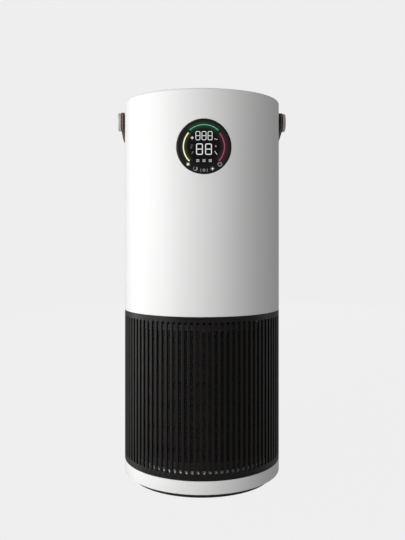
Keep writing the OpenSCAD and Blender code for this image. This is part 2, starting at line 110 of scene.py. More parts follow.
def area_light(name, place, target, size, power, diffuse=True, glossy=True):
    data = bpy.data.lights.new(name, "AREA")
    data.shape = "RECTANGLE"
    data.size, data.size_y = size
    data.energy = power
    light = bpy.data.objects.new(name, data)
    light.location = place
    light.rotation_euler = (Vector(target) - Vector(place)).to_track_quat("-Z", "Y").to_euler()
    light.visible_diffuse, light.visible_glossy = diffuse, glossy
    bpy.context.collection.objects.link(light)


def make_studio():
    """A round pale sweep, floor and walls in one, that only the camera sees, and soft lights."""
    steps = 16
    floor_r, curve, height = 3.0, 1.5, 6.0
    outline = [(0, 0), (floor_r, 0)]
    outline += [(floor_r + curve * math.sin(a), curve - curve * math.cos(a))
                for a in (math.pi / 2 * i / steps for i in range(1, steps + 1))]
    skin = 0.05
    outline += [(floor_r + curve, height), (0, height), (0, height + skin),
                (floor_r + curve + skin, height + skin), (floor_r + curve + skin, -skin), (0, -skin)]
    sweep = lathe("studio_sweep", outline, 64)
    sweep.data.materials.append(studio_paint())
    for ray in ("diffuse", "glossy", "transmission", "shadow"):
        setattr(sweep, "visible_" + ray, False)

    world = bpy.data.worlds.new("studio")
    world.use_nodes = True
    world.node_tree.nodes["Background"].inputs["Color"].default_value = (1, 1, 1, 1)
    world.node_tree.nodes["Background"].inputs["Strength"].default_value = 0.25
    bpy.context.scene.world = world
    middle = (0, 0, 0.3)
    area_light("key_left", turned(-62, 1.6, 0.5), middle, (1.0, 1.5), 8.9)
    area_light("rim_left", turned(-105, 1.5, 0.4), middle, (0.8, 1.6), 8.1)
    area_light("fill_front", turned(-35, 2.0, 0.6), middle, (1.0, 1.4), 22.7, glossy=False)
    area_light("rim_right", turned(100, 1.5, 0.4), middle, (0.8, 1.6), 1.8)
    area_light("fill_back", turned(172, 2.2, 0.9), middle, (1.0, 1.4), 13, glossy=False)
    bpy.context.scene.view_settings.view_transform = "Standard"


def turned(azimuth, distance, height):
    """A place round the object: azimuth 0 is the front, and 90 the viewer's right."""
    a = math.radians(azimuth)
    return (distance * math.sin(a), -distance * math.cos(a), height)


# ---- Mesh helpers ----

def new_object(name, verts, faces, smooth_angle=SMOOTH_ANGLE):
    mesh = bpy.data.meshes.new(name)
    mesh.from_pydata([tuple(v) for v in verts], [], faces)
    mesh.validate()
    obj = bpy.data.objects.new(name, mesh)
    bpy.context.collection.objects.link(obj)
    tidy(obj, smooth_angle)
    return obj


def tidy(obj, smooth_angle=SMOOTH_ANGLE):
    """Welds doubles, turns the faces outwards, and shades smooth up to an angle."""
    work = bmesh.new()
    work.from_mesh(obj.data)
    bmesh.ops.remove_doubles(work, verts=work.verts, dist=1e-6)
    bmesh.ops.dissolve_degenerate(work, edges=work.edges, dist=1e-7)
    bmesh.ops.recalc_face_normals(work, faces=work.faces)
    work.to_mesh(obj.data)
    work.free()
    obj.data.shade_smooth()
    obj.data.set_sharp_from_angle(angle=math.radians(smooth_angle))


def fillet(corners, steps=6):
    """Outline points of a closed polygon whose corners (x, y, radius) are rounded."""
    points = []
    count = len(corners)
    for i, (x, y, radius) in enumerate(corners):
        here = Vector((x, y))
        if radius <= 0:
            points.append((x, y))
            continue
        to_last = (Vector(corners[i - 1][:2]) - here).normalized()
        to_next = (Vector(corners[(i + 1) % count][:2]) - here).normalized()
        half = to_last.angle(to_next) / 2
        centre = here + (to_last + to_next).normalized() * radius / math.sin(half)
        start = here + to_last * radius / math.tan(half) - centre
        end = here + to_next * radius / math.tan(half) - centre
        first = math.atan2(start.y, start.x)
        sweep = (math.atan2(end.y, end.x) - first + math.pi) % TURN - math.pi
        for k in range(steps + 1):
            a = first + sweep * k / steps
            points.append((centre.x + radius * math.cos(a), centre.y + radius * math.sin(a)))
    return points


def add_grid(verts, faces, lines):
    """Adds the faces between rows of points of equal length."""
    first, width = len(verts), len(lines[0])
    for line in lines:
        verts.extend(line)
    for i in range(len(lines) - 1):
        for j in range(width - 1):
            a = first + i * width + j
            faces.append((a, a + 1, a + width + 1, a + width))


def lathe(name, outline, steps=256):
    """A closed outline of (radius, z) points turned about Z."""
    count = len(outline)
    verts = [(r * math.cos(TURN * i / steps), r * math.sin(TURN * i / steps), z)
             for i in range(steps) for r, z in outline]
    faces = []
    for i in range(steps):
        a, b = i * count, (i + 1) % steps * count
        for k in range(count):
            n = (k + 1) % count
            if outline[k][0] > 1e-9 or outline[n][0] > 1e-9:
                faces.append((a + k, b + k, b + n, a + n))
    return new_object(name, verts, faces)


def cylinder(name, radius, start, end, steps=96):
    """A plain cylinder between two points, for cutting."""
    axis = Vector(end) - Vector(start)
    turn = axis.to_track_quat("Z", "Y").to_matrix()
    rim = [Vector((radius * math.cos(TURN * i / steps), radius * math.sin(TURN * i / steps), 0))
           for i in range(steps)]
    verts = [Vector(start) + turn @ p for p in rim] + [Vector(end) + turn @ p for p in rim]
    faces = [(i, (i + 1) % steps, steps + (i + 1) % steps, steps + i) for i in range(steps)]
    faces += [tuple(reversed(range(steps))), tuple(range(steps, 2 * steps))]
    return new_object(name, verts, faces)


def block(name, low, high):
    """A plain box between two corners, for cutting."""
    verts = [(x, y, z) for x in (low[0], high[0]) for y in (low[1], high[1]) for z in (low[2], high[2])]
    faces = [(0, 1, 3, 2), (4, 6, 7, 5), (0, 4, 5, 1), (2, 3, 7, 6), (0, 2, 6, 4), (1, 5, 7, 3)]
    return new_object(name, verts, faces)


def cut(obj, *cutters):
    """Takes the cutters out of obj, and deletes them."""
    for cutter in cutters:
        mod = obj.modifiers.new("cut", "BOOLEAN")
        mod.operation = "DIFFERENCE"
        mod.solver = "EXACT"
        mod.object = cutter
    apply_modifiers(obj)
    for cutter in cutters:
        bpy.data.objects.remove(cutter)


def apply_modifiers(obj):
    graph = bpy.context.evaluated_depsgraph_get()
    mesh = bpy.data.meshes.new_from_object(obj.evaluated_get(graph))
    obj.modifiers.clear()
    obj.data = mesh


def round_normals(obj):
    """Gives the faces of a turned wall the wall's own round normals, so that holes don't dent them."""
    mesh = obj.data
    normals = []
    for face in mesh.polygons:
        out = Vector((face.center.x, face.center.y, 0)).normalized()
        side = face.normal.dot(out)
        for loop in face.loop_indices:
            v = mesh.vertices[mesh.loops[loop].vertex_index].co
            radial = Vector((v.x, v.y, 0)).normalized()
            normals.append(radial * (1 if side > 0 else -1) if abs(side) > 0.995
                           else mesh.corner_normals[loop].vector.copy())
    mesh.normals_split_custom_set(normals)


def join(name, parts):
    """One object from several."""
    work = bmesh.new()
    for part in parts:
        part.data.transform(part.matrix_world)
        work.from_mesh(part.data)
        bpy.data.objects.remove(part)
    mesh = bpy.data.meshes.new(name)
    work.to_mesh(mesh)
    work.free()
    obj = bpy.data.objects.new(name, mesh)
    bpy.context.collection.objects.link(obj)
    mesh.shade_smooth()
    mesh.set_sharp_from_angle(angle=math.radians(SMOOTH_ANGLE))
    return obj


def dress(obj, paint, body, *nodes, slot=None):
    """Gives a piece its material, its body and the CAD nodes that it stands for; the slot argument is not
    used.
    """
    if paint is not None:
        obj.data.materials.clear()
        obj.data.materials.append(paint)
    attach(obj, body)
    if nodes:
        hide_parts(*nodes)
    return obj


# ---- Materials ----

def tint(code):
    """A colour's hexadecimal code as linear values."""
    parts = [int(code[i:i + 2], 16) / 255 for i in (0, 2, 4)]
    return tuple(c / 12.92 if c <= 0.04045 else ((c + 0.055) / 1.055) ** 2.4 for c in parts) + (1,)


class Paint:
    """A material whose nodes are added one by one."""

    def __init__(self, name):
        self.material = bpy.data.materials.new(name)
        self.material.use_nodes = True
        self.tree = self.material.node_tree
        self.shader = self.tree.nodes["Principled BSDF"]
        self.place = self.add("ShaderNodeTexCoord").outputs["Object"]

    def add(self, kind, **values):
        node = self.tree.nodes.new(kind)
        for key, value in values.items():
            setattr(node, key, value)
        return node

    def link(self, source, target):
        self.tree.links.new(source, target)

    def set(self, **values):
        """Sets sockets of the shader by name, with spaces as underscores."""
        for key, value in values.items():
            self.shader.inputs[key.replace("_", " ")].default_value = value

    def noise(self, scale, detail=4, stretch=(1, 1, 1)):
        place = self.place
        if stretch != (1, 1, 1):
            mapping = self.add("ShaderNodeMapping")
            mapping.inputs["Scale"].default_value = stretch
            self.link(self.place, mapping.inputs["Vector"])
            place = mapping.outputs["Vector"]
        node = self.add("ShaderNodeTexNoise")
        node.inputs["Scale"].default_value = scale
        node.inputs["Detail"].default_value = detail
        node.inputs["Roughness"].default_value = 0.55
        self.link(place, node.inputs["Vector"])
        return node.outputs["Fac"]

    def math(self, operation, a, b=None, c=None, clamp=False):
        node = self.add("ShaderNodeMath", operation=operation, use_clamp=clamp)
        for socket, value in zip(node.inputs, (a, b, c)):
            if value is None:
                continue
            if isinstance(value, (int, float)):
                socket.default_value = value
            else:
                self.link(value, socket)
        return node.outputs["Value"]

    def ramp(self, value, stops):
        node = self.add("ShaderNodeValToRGB")
        marks = node.color_ramp.elements
        while len(marks) < len(stops):
            marks.new(0.5)
        for mark, (at, colour) in zip(marks, stops):
            mark.position = at
            mark.color = (*colour, 1) if len(colour) == 3 else colour
        self.link(value, node.inputs["Fac"])
        return node.outputs["Color"]

    def mix(self, factor, a, b, blend="MIX"):
        node = self.add("ShaderNodeMix", data_type="RGBA", blend_type=blend)
        for socket, value in ((node.inputs[0], factor), (node.inputs[6], a), (node.inputs[7], b)):
            if isinstance(value, (int, float)):
                socket.default_value = value
            elif isinstance(value, tuple):
                socket.default_value = (*value, 1) if len(value) == 3 else value
            else:
                self.link(value, socket)
        return node.outputs[2]

    def mottled(self, colour, spread, scale, stretch=(1, 1, 1)):
        """A colour that wanders a little lighter and darker."""
        dark = tuple(c * (1 - spread) for c in colour)
        light = tuple(min(1, c * (1 + spread)) for c in colour)
        return self.ramp(self.noise(scale, stretch=stretch), [(0.3, dark), (0.7, light)])

    def colour(self, value):
        self.link(value, self.shader.inputs["Base Color"])

    def rough(self, low, high, scale, stretch=(1, 1, 1)):
        value = self.math("MULTIPLY_ADD", self.noise(scale, stretch=stretch), high - low, low)
        self.link(value, self.shader.inputs["Roughness"])

    def bump(self, height, depth, last=None):
        node = self.add("ShaderNodeBump")
        node.inputs["Distance"].default_value = depth
        node.inputs["Strength"].default_value = 1
        self.link(height, node.inputs["Height"])
        if last is not None:
            self.link(last, node.inputs["Normal"])
        self.link(node.outputs["Normal"], self.shader.inputs["Normal"])
        return node.outputs["Normal"]


def studio_paint():
    paint = Paint("studio_paint")
    paint.set(Base_Color=(0.02, 0.02, 0.02, 1), Roughness=1, Specular_IOR_Level=0,
              Emission_Color=tint("efefef"), Emission_Strength=0.985)
    return paint.material


def moulded(name, colour, rough=(0.35, 0.5), grain=0.02, spread=0.03, specular=0.5):
    """Injection-moulded plastic: fine spark grain, faint flow marks, uneven gloss."""
    paint = Paint(name)
    paint.colour(paint.mottled(colour, spread, 30, stretch=(1, 1, 0.3)))
    paint.rough(*rough, 90)
    paint.set(IOR=1.47, Specular_IOR_Level=specular)
    wide = paint.bump(paint.noise(60, detail=2), 0.04 * MM)
    paint.bump(paint.noise(2500, detail=2), grain * MM, wide)
    return paint.material


def metal(name, colour, rough=(0.25, 0.4), stretch=(1, 1, 30), depth=0.004, metallic=1.0):
    """Metal with a drawn or turned finish."""
    brush_scale = 300
    paint = Paint(name)
    paint.colour(paint.mottled(colour, 0.08, 60))
    paint.rough(*rough, brush_scale, stretch)
    paint.set(Metallic=metallic)
    paint.bump(paint.noise(brush_scale, stretch=stretch), depth * MM)
    return paint.material


def soft_rubber(name, colour):
    paint = Paint(name)
    paint.colour(paint.mottled(colour, 0.15, 80))
    paint.rough(0.7, 0.9, 200)
    paint.bump(paint.noise(1500, detail=3), 0.03 * MM)
    return paint.material


def netting():
    """Black net with round openings between paler threads; the openings' near-black is painted shade."""
    paint = Paint("mesh_fabric")
    cells = paint.add("ShaderNodeTexVoronoi", feature="DISTANCE_TO_EDGE")
    cells.inputs["Scale"].default_value = 260
    cells.inputs["Randomness"].default_value = 0.4
    paint.link(paint.place, cells.inputs["Vector"])
    hole = paint.ramp(cells.outputs["Distance"], [(0.10, (0, 0, 0)), (0.18, (1, 1, 1))])
    # The openings are painted near-black: painted shade.
    paint.colour(paint.mix(hole, (0.020, 0.018, 0.017), (0.005, 0.005, 0.005)))
    paint.rough(0.6, 0.8, 200)
    paint.bump(hole, -0.3 * MM)
    return paint.material


def leather():
    """Grained brown leather, darker in the creases as painted shade."""
    paint = Paint("strap_leather")
    cells = paint.add("ShaderNodeTexVoronoi", feature="DISTANCE_TO_EDGE")
    cells.inputs["Scale"].default_value = 900
    paint.link(paint.place, cells.inputs["Vector"])
    creases_and_painted_shade = paint.ramp(cells.outputs["Distance"], [(0.0, (0, 0, 0)), (0.12, (1, 1, 1))])
    tone = paint.mottled((0.028, 0.0165, 0.014), 0.35, 70)
    # The creases are mixed towards dark brown: painted shade.
    paint.colour(paint.mix(creases_and_painted_shade, (0.012, 0.007, 0.006), tone))
    paint.rough(0.42, 0.62, 250)
    paint.set(Specular_IOR_Level=0.45)
    wide = paint.bump(paint.noise(160, detail=3), 0.12 * MM)
    paint.bump(creases_and_painted_shade, 0.05 * MM, wide)
    return paint.material


def paler_edge_and_painted_highlight():
    """The paler, waxed cut edge of the leather: partly its own colour, partly a painted highlight of the
    rounded edge catching the light.
    """
    paint = Paint("strap_edge_painted_highlight")
    paint.colour(paint.mottled((0.19, 0.135, 0.115), 0.3, 250))
    paint.rough(0.4, 0.6, 300)
    paint.bump(paint.noise(900, detail=4), 0.05 * MM)
    return paint.material


def thread():
    paint = Paint("strap_thread")
    paint.colour(paint.mottled((0.21, 0.15, 0.115), 0.3, 1500))
    paint.rough(0.6, 0.8, 900)
    paint.bump(paint.noise(4000, detail=2), 0.05 * MM)
    return paint.material


def glowing(name, code):
    """A lit mark on the display: a diffused lamp colour with slightly uneven brightness."""
    paint = Paint(name)
    lit = paint.mottled(tint(code)[:3], 0.08, 300)
    paint.link(lit, paint.shader.inputs["Emission Color"])
    paint.colour(paint.mix(0.85, lit, (0, 0, 0)))
    paint.set(Roughness=0.35, Emission_Strength=1)
    return paint.material


make_camera()
make_studio()

# ---- Upper shell ----


def upper_shell():
    low = shell_low.z
    lip_low = TOP_Z - 14.5 * MM
    inner_rim = BODY_R - RIM_W
    socket_w, socket_h = 12.2 * MM, 8.7 * MM  # half of the mains inlet's opening
    outline = fillet([
        (INNER_R, low, 0.3 * MM), (BODY_R, low, 0.35 * MM), (BODY_R, TOP_Z, 3 * MM),
        (inner_rim, TOP_Z, 1.6 * MM), (inner_rim, lip_low, 0.4 * MM),
        (inner_rim + 2 * MM, lip_low, 0.4 * MM), (inner_rim + 2 * MM, TOP_Z - WALL, 0.8 * MM),
        (INNER_R, TOP_Z - WALL, 1 * MM)])
    shell = lathe("upper_shell_skin", outline)
    cut(shell,
        cylinder("cut_display", DISPLAY_R + 0.3 * MM, (0, -BODY_R - 0.01, DISPLAY_Z),
                 (0, -BODY_R + 0.03, DISPLAY_Z)),
        block("cut_socket", (-socket_w, BODY_R - 0.01, socket_mid() - socket_h),
              (socket_w, BODY_R + 0.01, socket_mid() + socket_h)),
        block("cut_vent", (vent_low.x - 0.2 * MM, BODY_R - 0.015, vent_low.z - 0.2 * MM),
              (vent_high.x + 0.2 * MM, BODY_R + 0.01, vent_high.z + 0.2 * MM)))
    tidy(shell)
    round_normals(shell)
    paint = moulded("white_shell", (0.80, 0.80, 0.795), rough=(0.36, 0.46), grain=0.008, spread=0.008)
    return dress(shell, paint, "housing", "upper_shell", slot="white_shell")


def socket_mid():
    return (socket_low.z + socket_high.z) / 2


shell = upper_shell()
WHITE = shell.data.materials[0]

# ---- Slotted grille ----


def grille_rows():
    """Rows up one rib: (half width and height of the slot's edge, the same out past its bevel)."""
    half = SLOT_W / 2
    bevel = 0.45 * MM
    ends = 8
    rows = []
    for k in range(ends + 1):
        a = math.pi / 2 * k / ends
        rows.append((half * math.sin(a), SLOT_LOW + half - half * math.cos(a),
                     (half + bevel) * math.sin(a), SLOT_LOW + half - (half + bevel) * math.cos(a)))
    middle = [(half, z, half + bevel, z) for z in
              (SLOT_LOW + (SLOT_HIGH - SLOT_LOW) * i / 6 for i in range(1, 6))]
    upper = [(w, SLOT_LOW + SLOT_HIGH - z, wb, SLOT_LOW + SLOT_HIGH - zb)
             for w, z, wb, zb in reversed(rows)]
    return rows + middle + upper, bevel


def intake_grille():
    rows, bevel = grille_rows()
    pitch = TURN / SLOT_COUNT
    half_pitch = BODY_R * pitch / 2
    low, high = grille_low.z, grille_high.z
    across = 4
    verts, faces = [], []

    def at(s, z, r):
        """A point on the cylinder at arc length s from the rib's middle, measured at the outside."""
        a = middle + s / BODY_R
        return (r * math.cos(a), r * math.sin(a), z)

    def row(half_w, z, r):
        return [at(half_w * (2 * j / across - 1), z, r) for j in range(across + 1)]

    edge = 0.3 * MM
    for i in range(SLOT_COUNT):
        middle = -math.pi / 2 + (i + 0.5) * pitch
        outer = [row(half_pitch, low, BODY_R - edge), row(half_pitch, low + edge, BODY_R)]
        outer += [row(half_pitch - wb, zb, BODY_R) for w, z, wb, zb in rows]
        outer += [row(half_pitch, high - edge, BODY_R), row(half_pitch, high, BODY_R - edge)]
        add_grid(verts, faces, outer)
        inner = [row(half_pitch, low, INNER_R)]
        inner += [row(half_pitch - w, z, INNER_R) for w, z, wb, zb in rows]
        inner += [row(half_pitch, high, INNER_R)]
        add_grid(verts, faces, inner)
        for side in (-1, 1):
            add_grid(verts, faces, [
                [at(side * (half_pitch - wb), zb, BODY_R),
                 at(side * (half_pitch - w - 0.3 * (wb - w)), z + 0.3 * (zb - z), BODY_R - 0.3 * bevel),
                 at(side * (half_pitch - w), z, BODY_R - bevel),
                 at(side * (half_pitch - w), z, INNER_R)] for w, z, wb, zb in rows])
        for end in (low, high):
            add_grid(verts, faces, [row(half_pitch, end, INNER_R), row(half_pitch, end, BODY_R - edge)])
    return new_object("intake_grille_skin", verts, faces, 40)


BLACK = moulded("black_plastic", (0.0075, 0.0064, 0.0058), rough=(0.34, 0.46), grain=0.02, spread=0.15,
                specular=0.32)
dress(intake_grille(), BLACK, "housing", "intake_grille", slot="black_plastic")

# ---- Base ----


def base_cover():
    """Band, tray and the tray's rim, which the CAD lacks; without the CAD's bayonet and bosses."""
    low = base_low.z
    inside = INNER_R - 0.7 * MM
    shoulder = BASE_TOP_Z - WALL
    seat_r, seat_top = 100.1 * MM, low + 2.7 * MM  # where the base plate sits
    outline = fillet([
        (0, TRAY_Z - 2.4 * MM, 0), (inside - WALL, TRAY_Z - 2.4 * MM, 0.8 * MM),
        (inside - WALL, shoulder, 0.4 * MM), (INNER_R, shoulder, 0.8 * MM),
        (INNER_R, seat_top, 0.4 * MM), (seat_r, seat_top, 0.2 * MM),
        (seat_r, low, 0.3 * MM), (BODY_R, low, 1 * MM), (BODY_R, BASE_TOP_Z, 0.4 * MM),
        (inside, BASE_TOP_Z, 0.3 * MM), (inside, TRAY_Z, 0.4 * MM), (inside - 0.8 * MM, TRAY_Z, 0),
        (inside - 0.8 * MM, TRAY_Z + 2 * MM, 0.7 * MM), (inside - 3 * MM, TRAY_Z + 2 * MM, 0.7 * MM),
        (inside - 3 * MM, TRAY_Z, 0), (0, TRAY_Z, 0)])
    return lathe("base_cover_skin", outline)


dress(base_cover(), WHITE, "base", "base_cover", slot="white_shell")


def foot_ring():
    width = 12 * MM
    inner = FOOT_R - width
    outline = fillet([
        (inner + 2 * MM, 0, 0.5 * MM), (FOOT_R, 0, 1.2 * MM), (FOOT_R, FOOT_H, 0.2 * MM),
        (inner, FOOT_H, 0.2 * MM), (inner, 1.5 * MM, 0.3 * MM), (inner + 2 * MM, 1.5 * MM, 0.2 * MM)])
    return lathe("foot_ring_skin", outline)


dress(foot_ring(), soft_rubber("foot_rubber", (0.012, 0.012, 0.012)), "base", "foot_ring", slot="foot_rubber")

# ---- Display ----


def display_lens():
    """A disc that follows the wall, with a rounded edge, set 0.2 mm back."""
    rings, steps = 14, 128
    outer_r, inner_r = WINDOW_R, INNER_R + 0.2 * MM
    edge_r = DISPLAY_R + 0.2 * MM
    profile = [(edge_r * k / rings, outer_r) for k in range(rings)]
    profile += [(edge_r - 0.3 * MM, outer_r), (edge_r - 0.08 * MM, outer_r - 0.1 * MM),
                (edge_r, outer_r - 0.35 * MM), (edge_r, inner_r)]
    profile += [(edge_r * k / rings, inner_r) for k in range(rings - 1, -1, -1)]
    verts = [on_wall(p * math.cos(TURN * i / steps), p * math.sin(TURN * i / steps), r)
             for i in range(steps) for p, r in profile]
    count = len(profile)
    faces = [(i * count + k, (i + 1) % steps * count + k, (i + 1) % steps * count + k + 1, i * count + k + 1)
             for i in range(steps) for k in range(count - 1)]
    return new_object("display_window", verts, faces, 40)


def on_wall(u, v, r):
    """A point of the display, u across and v up from its centre, on the cylinder of radius r."""
    return (u, -math.sqrt(r * r - u * u), DISPLAY_Z + v)


def window_paint():
    """Black gloss with the three colour rings' glow under it, and painted light that lightens the base colour
    towards the rim.
    """
    paint = Paint("display_window")
    axes = paint.add("ShaderNodeSeparateXYZ")
    paint.link(paint.place, axes.inputs["Vector"])
    u = paint.math("DIVIDE", axes.outputs["X"], DISPLAY_R)
    v = paint.math("DIVIDE", paint.math("SUBTRACT", axes.outputs["Z"], DISPLAY_Z), DISPLAY_R)
    away = paint.math("SQRT", paint.math("ADD", paint.math("MULTIPLY", u, u), paint.math("MULTIPLY", v, v)))
    turn = paint.math("ARCTAN2", u, v)
    glow = None
    for middle, half, radius, width, colour in (
            (0, 43, 0.77, 0.12, "04321b"), (-91, 45, 0.72, 0.085, "2e330c"), (91, 43, 0.76, 0.12, "350f1b")):
        off = paint.math("ABSOLUTE", paint.math("SUBTRACT", turn, math.radians(middle)))
        inside = paint.math("MULTIPLY_ADD", off, -12, 12 * math.radians(half) + 0.5, clamp=True)
        near = paint.math("DIVIDE", paint.math("SUBTRACT", away, radius), width)
        fade = paint.math("POWER", 0.37, paint.math("POWER", paint.math("ABSOLUTE", near), 3))
        lit = paint.mix(paint.math("MULTIPLY", inside, fade), (0, 0, 0), tint(colour))
        glow = lit if glow is None else paint.mix(1.0, glow, lit, "ADD")
    paint.link(glow, paint.shader.inputs["Emission Color"])
    # Base colour lightens from the centre to the rim: painted light.
    paint.colour(paint.ramp(away, [(0.5, tint("060607")), (0.9, tint("1c1a1b"))]))
    paint.rough(0.08, 0.16, 60)
    paint.set(Emission_Strength=1, Specular_IOR_Level=0.3)
    paint.bump(paint.noise(40, detail=2), 0.01 * MM)
    return paint.material


dress(display_lens(), window_paint(), "housing", "display_lens", slot="display_window")


def stroke(points, width):
    """A raised ribbon along display points, as vertices and faces."""
    count = len(points)
    verts, faces = [], []
    for i, (u, v) in enumerate(points):
        before = points[max(i - 1, 0)]
        after = points[min(i + 1, count - 1)]
        along = Vector((after[0] - before[0], after[1] - before[1])).normalized()
        side = Vector((-along.y, along.x)) * width / 2
        for sign, rise in ((-1, -MARK_RISE), (-1, MARK_RISE), (1, MARK_RISE), (1, -MARK_RISE)):
            verts.append(on_wall(u + sign * side.x, v + sign * side.y, WINDOW_R + rise))
    faces = [(4 * i + k, 4 * i + (k + 1) % 4, 4 * i + 4 + (k + 1) % 4, 4 * i + 4 + k)
             for i in range(count - 1) for k in range(4)]
    faces += [(0, 1, 2, 3), tuple(4 * (count - 1) + k for k in (3, 2, 1, 0))]
    return verts, faces


def marks(name, strokes, paint):
    """One piece from many strokes."""
    verts, faces = [], []
    for more_verts, more_faces in strokes:
        first = len(verts)
        verts += more_verts
        faces += [tuple(first + k for k in face) for face in more_faces]
    obj = new_object(name, verts, faces)
    dress(obj, paint, "housing", slot="light_box")


def arc(radius, first, last, steps=24, centre=(0, 0)):
    """Points of an arc, with angles in degrees from the top, clockwise."""
    return [(centre[0] + radius * math.sin(math.radians(a)), centre[1] + radius * math.cos(math.radians(a)))
            for a in (first + (last - first) * i / steps for i in range(steps + 1))]


UNIT = DISPLAY_R


def colour_arcs():
    for name, radius, first, last, width, code in (("green", 0.785, -41, 41, 0.026, "6cad90"),
                                                   ("yellow", 0.745, -135, -48, 0.042, "f0efc8"),
                                                   ("red", 0.745, 49, 134, 0.032, "8f5465")):
        marks("arc_" + name, [stroke(arc(radius * UNIT, first, last), width * UNIT)],
              glowing("lamp_" + name, code))


def digit(centre_u, centre_v, width, height, line, corner):
    """A lit 8: seven strokes with small gaps between them."""
    gap = line * 0.16
    half_w, half_h = width / 2 - line / 2, height / 2 - line / 2
    strokes = []
    for up in (-1, 1):
        bend = [(-half_w + corner - corner * math.cos(a), up * (half_h - corner + corner * math.sin(a)))
                for a in (math.pi / 16 * k for k in range(9))]
        left = [(-half_w, up * gap)] + bend[:5]
        right = [(-u, v) for u, v in left]
        bar = bend[4:] + [(-u, v) for u, v in reversed(bend[4:])]
        strokes += [left, right, bar]
    strokes.append([(-half_w + line * 0.62, 0), (half_w - line * 0.62, 0)])
    return [stroke([(centre_u + u, centre_v + v) for u, v in s], line) for s in strokes]


def digits():
    lit = []
    for u in (-0.22, 0, 0.22):
        lit += digit(u * UNIT, 0.385 * UNIT, 0.172 * UNIT, 0.325 * UNIT, 0.021 * UNIT, 0.05 * UNIT)
    for u in (-0.163, 0.163):
        lit += digit(u * UNIT, -0.10 * UNIT, 0.24 * UNIT, 0.405 * UNIT, 0.029 * UNIT, 0.045 * UNIT)
    marks("display_digits", lit, glowing("lamp_white", "eceaec"))


def dot(u, v, radius, steps=20):
    """A small lit disc."""
    outline = [(u + radius * math.cos(TURN * i / steps), v + radius * math.sin(TURN * i / steps))
               for i in range(steps)]
    verts = [on_wall(x, z, WINDOW_R + rise) for rise in (-MARK_RISE, MARK_RISE) for x, z in outline]
    faces = [(i, (i + 1) % steps, steps + (i + 1) % steps, steps + i) for i in range(steps)]
    faces += [tuple(range(steps)), tuple(range(2 * steps - 1, steps - 1, -1))]
    return verts, faces


def rays(u, v, first, last, count, width):
    """Short strokes round a point."""
    return [stroke([(u + r * math.sin(TURN * i / count), v + r * math.cos(TURN * i / count))
                    for r in (first, last)], width) for i in range(count)]


def key_place(step):
    """Where a touch key's mark is, counted from the lowest one."""
    a = math.radians(21 * step)
    return 0.86 * UNIT * math.sin(a), -0.86 * UNIT * math.cos(a)


def touch_marks():
    """The five key marks along the lower edge: sun, moon, power, speed and clock."""
    line = 0.014 * UNIT
    u, v = key_place(-2)
    marks("mark_sun", [dot(u, v, 0.046 * UNIT)] + rays(u, v, 0.054 * UNIT, 0.072 * UNIT, 8, 0.7 * line),
          glowing("lamp_bright", "dcdcdc"))
    u, v = key_place(-1)
    moon = [stroke(arc(0.075 * UNIT, 40, 330, 20, (u, v)), line),
            stroke(arc(0.045 * UNIT, 30, 180, 10, (u, v)), 2 * line)]
    u, v = key_place(0)
    power = [stroke(arc(0.036 * UNIT, 40, 320, 16, (u, v)), 1.5 * line),
             stroke([(u, v + 0.005 * UNIT), (u, v + 0.06 * UNIT)], 1.5 * line)]
    power += [stroke(arc(0.12 * UNIT, side - 28, side + 28, 10, (u, v)), line) for side in (-90, 90)]
    u, v = key_place(2)
    clock = [stroke(arc(0.072 * UNIT, 0, 345, 24, (u, v)), 1.5 * line),
             stroke([(u, v + 0.042 * UNIT), (u, v), (u + 0.03 * UNIT, v)], line)]
    marks("marks_mode", moon + power + clock, glowing("lamp_middle", "909090"))
    u, v = key_place(1)
    marks("mark_speed", [dot(u, v, 0.034 * UNIT)], glowing("lamp_light", "e0e0e0"))
    blades = []
    for k in range(4):
        a = 90 * k
        out = 0.045 * UNIT
        hub = (u + out * math.sin(math.radians(a)), v + out * math.cos(math.radians(a)))
        blades.append(stroke(arc(0.024 * UNIT, a - 80, a + 60, 8, hub), 1.1 * line))
    marks("mark_blades", blades, glowing("lamp_blades", "7c7c7c"))


def small_marks():
    """The level bars, and the marks beside the figures."""
    line = 0.016 * UNIT
    bars = []
    for u in (-0.224, 0, 0.226):
        u, v = u * UNIT, -0.515 * UNIT
        bars += [stroke([(u + x * UNIT, v - 0.05 * UNIT), (u + x * UNIT, v + 0.05 * UNIT)], 1.2 * line)
                 for x in (-0.04, 0, 0.04)]
        bars += [stroke([(u - 0.048 * UNIT, v + y * UNIT), (u + 0.048 * UNIT, v + y * UNIT)], line)
                 for y in (-0.03, 0.03)]
    marks("level_marks", bars, glowing("lamp_soft", "b0b0b0"))
    marks("drop_mark", [dot(-0.426 * UNIT, 0.312 * UNIT, 0.036 * UNIT)]
          + rays(-0.426 * UNIT, 0.307 * UNIT, 0.04 * UNIT, 0.058 * UNIT, 4, 1.6 * line),
          glowing("lamp_drop", "cfcbcf"))
    wave = [(0.37, 0.262), (0.395, 0.282), (0.42, 0.275), (0.445, 0.252), (0.47, 0.25), (0.495, 0.272)]
    marks("side_marks", [stroke([(u * UNIT, v * UNIT) for u, v in wave], 1.2 * line),
                         stroke([(0.385 * UNIT, -0.17 * UNIT), (0.475 * UNIT, -0.29 * UNIT)], 1.5 * line)],
          glowing("lamp_side", "c4c4c4"))
    marks("warm_marks", [dot(0.426 * UNIT, 0.01 * UNIT, 0.034 * UNIT),
                         stroke([(-0.392 * UNIT, -0.18 * UNIT), (-0.444 * UNIT, -0.27 * UNIT)], 1.3 * line)],
          glowing("lamp_warm", "94707a"))
    u, v = -0.46 * UNIT, 0.01 * UNIT
    stem = [stroke([(u, v + 0.075 * UNIT), (u, v - 0.03 * UNIT)], 2 * line),
            dot(u, v - 0.055 * UNIT, 0.034 * UNIT)]
    stem += [stroke([(u + 0.035 * UNIT, v + h * UNIT), (u + 0.07 * UNIT, v + h * UNIT)], line)
             for h in (0.0, 0.03, 0.06)]
    marks("stem_mark", stem, glowing("lamp_dim", "484448"))


